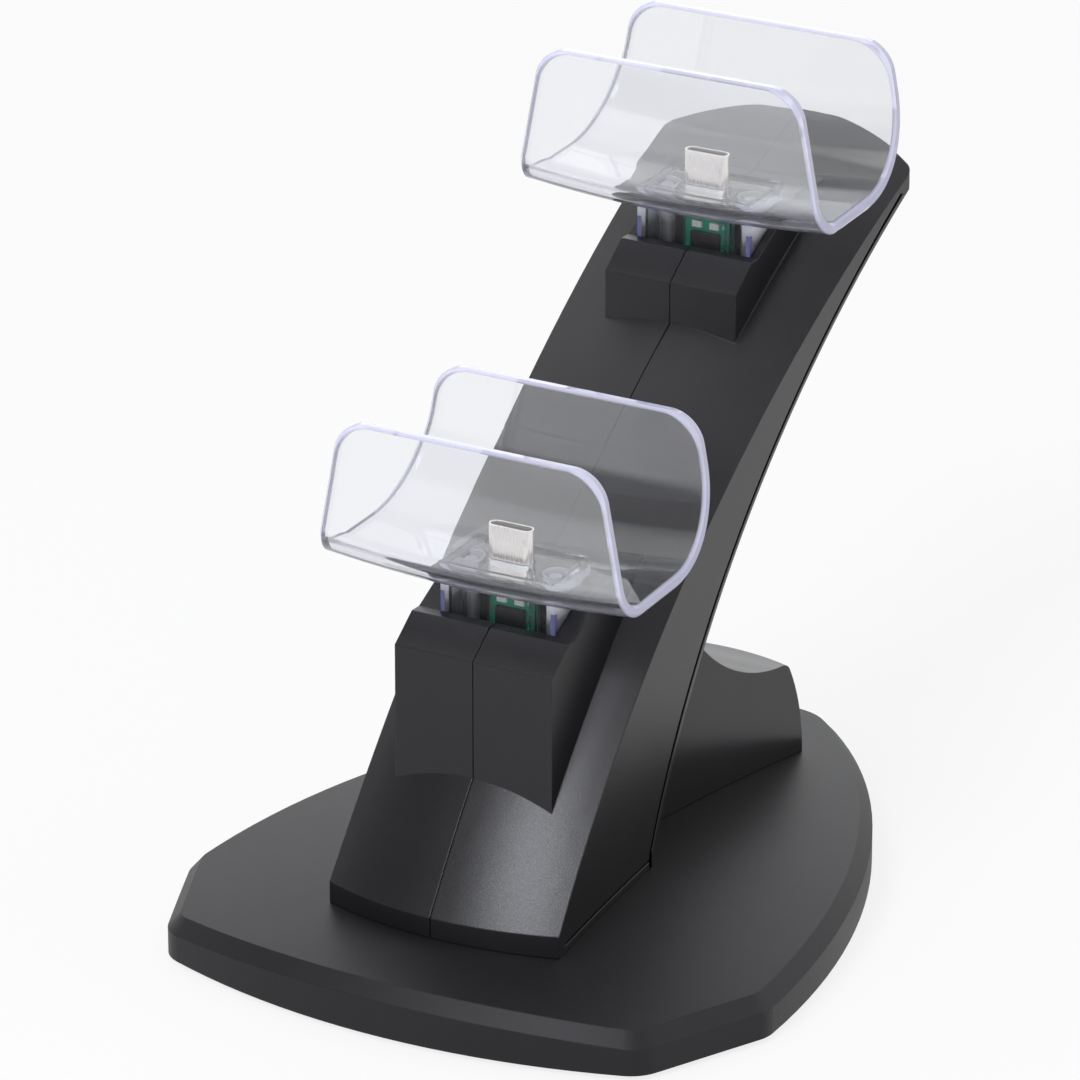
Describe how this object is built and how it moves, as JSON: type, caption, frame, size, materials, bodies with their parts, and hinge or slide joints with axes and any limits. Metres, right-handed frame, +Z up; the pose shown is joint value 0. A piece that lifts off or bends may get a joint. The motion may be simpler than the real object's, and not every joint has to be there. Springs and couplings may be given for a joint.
{
  "type": "controller charging dock",
  "caption": "Desk charging dock: a leaning curved column on a shield-shaped base carries clear cradles with upright charging plugs, braced by a scooped rear fin.",
  "frame": {"origin": "on the surface it stands on, at the middle of its plan", "axes": "+Z up, +Y towards the rear nose of the base, +X to the right as seen from the front"},
  "size_m": [0.1126, 0.1463, 0.1402],
  "materials": {
    "black_plastic": "fine moulded texture",
    "clear_plastic": "clear polished",
    "nickel": "nickel plated",
    "dark_insert": "matte",
    "board_green": "coated laminate",
    "lamp_white": "gloss",
    "solder": "bright",
    "screw_steel": "plain",
    "rubber": "matte",
    "lead_jacket": "matte"
  },
  "bodies": {
    "root": {"base_cover": "black_plastic", "bottom_plate": "black_plastic", "column_left": "black_plastic", "column_right": "black_plastic", "column_rear_cover": "black_plastic", "rear_fin": "black_plastic", "cradle_lower": "clear_plastic", "cradle_upper": "clear_plastic", "plug_shell_lower": "nickel", "plug_shell_upper": "nickel", "plug_insert_lower": "dark_insert", "plug_insert_upper": "dark_insert", "charge_board_lower": "board_green", "charge_board_upper": "board_green", "board_leds_lower": "lamp_white", "board_leds_upper": "lamp_white", "board_chip_lower": "dark_insert", "board_chip_upper": "dark_insert", "solder_joints_lower": "solder", "solder_joints_upper": "solder", "cradle_screws_lower": "screw_steel", "cradle_screws_upper": "screw_steel", "column_screws": "screw_steel", "fin_screws": "screw_steel", "plate_screws": "screw_steel", "rubber_pads": "rubber", "power_board": "board_green", "inlet_shell": "nickel", "inlet_tongue": "dark_insert", "lead_lower": "lead_jacket", "lead_upper": "lead_jacket"}
  },
  "joints": []
}
